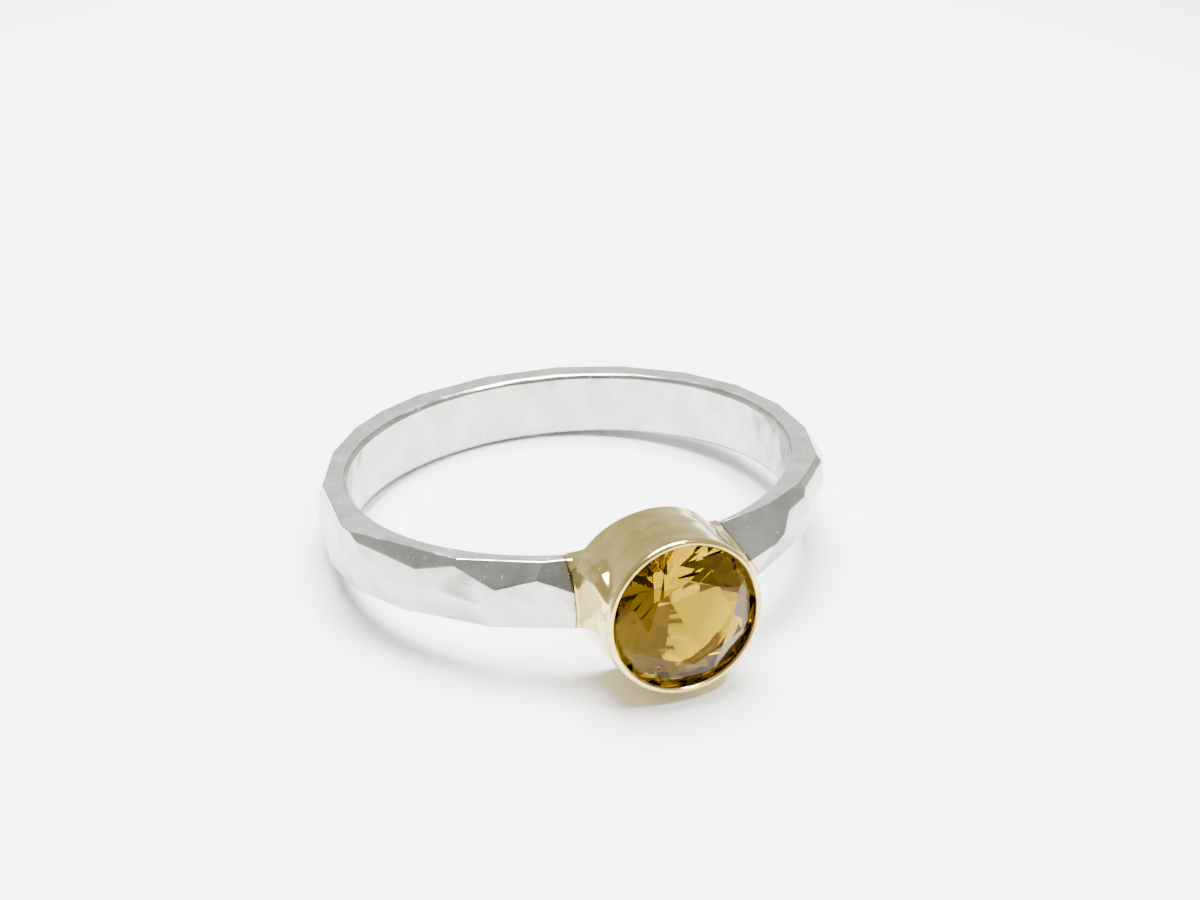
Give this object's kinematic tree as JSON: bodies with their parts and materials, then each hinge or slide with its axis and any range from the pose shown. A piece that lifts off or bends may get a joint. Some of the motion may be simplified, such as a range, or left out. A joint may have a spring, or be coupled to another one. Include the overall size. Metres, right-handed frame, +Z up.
{
  "type": "stacking finger ring with a bezel-set round stone",
  "caption": "Hammered silver stacking ring with a round faceted citrine in a plain gold bezel cup.",
  "frame": {"origin": "on the surface that the ring lies on, below the middle of its bounding box", "axes": "+Z up from the surface; -Y towards the stone; +X to the right of someone who looks at the stone"},
  "size_m": [0.02, 0.0226, 0.0065],
  "materials": {
    "silver": "polished sterling silver with hammer flats; satin on the flat sides",
    "gold": "polished pale yellow gold",
    "citrine": "clear faceted citrine, golden orange"
  },
  "bodies": {
    "root": {"band_with_bezel": "silver", "citrine": "citrine"}
  },
  "joints": []
}
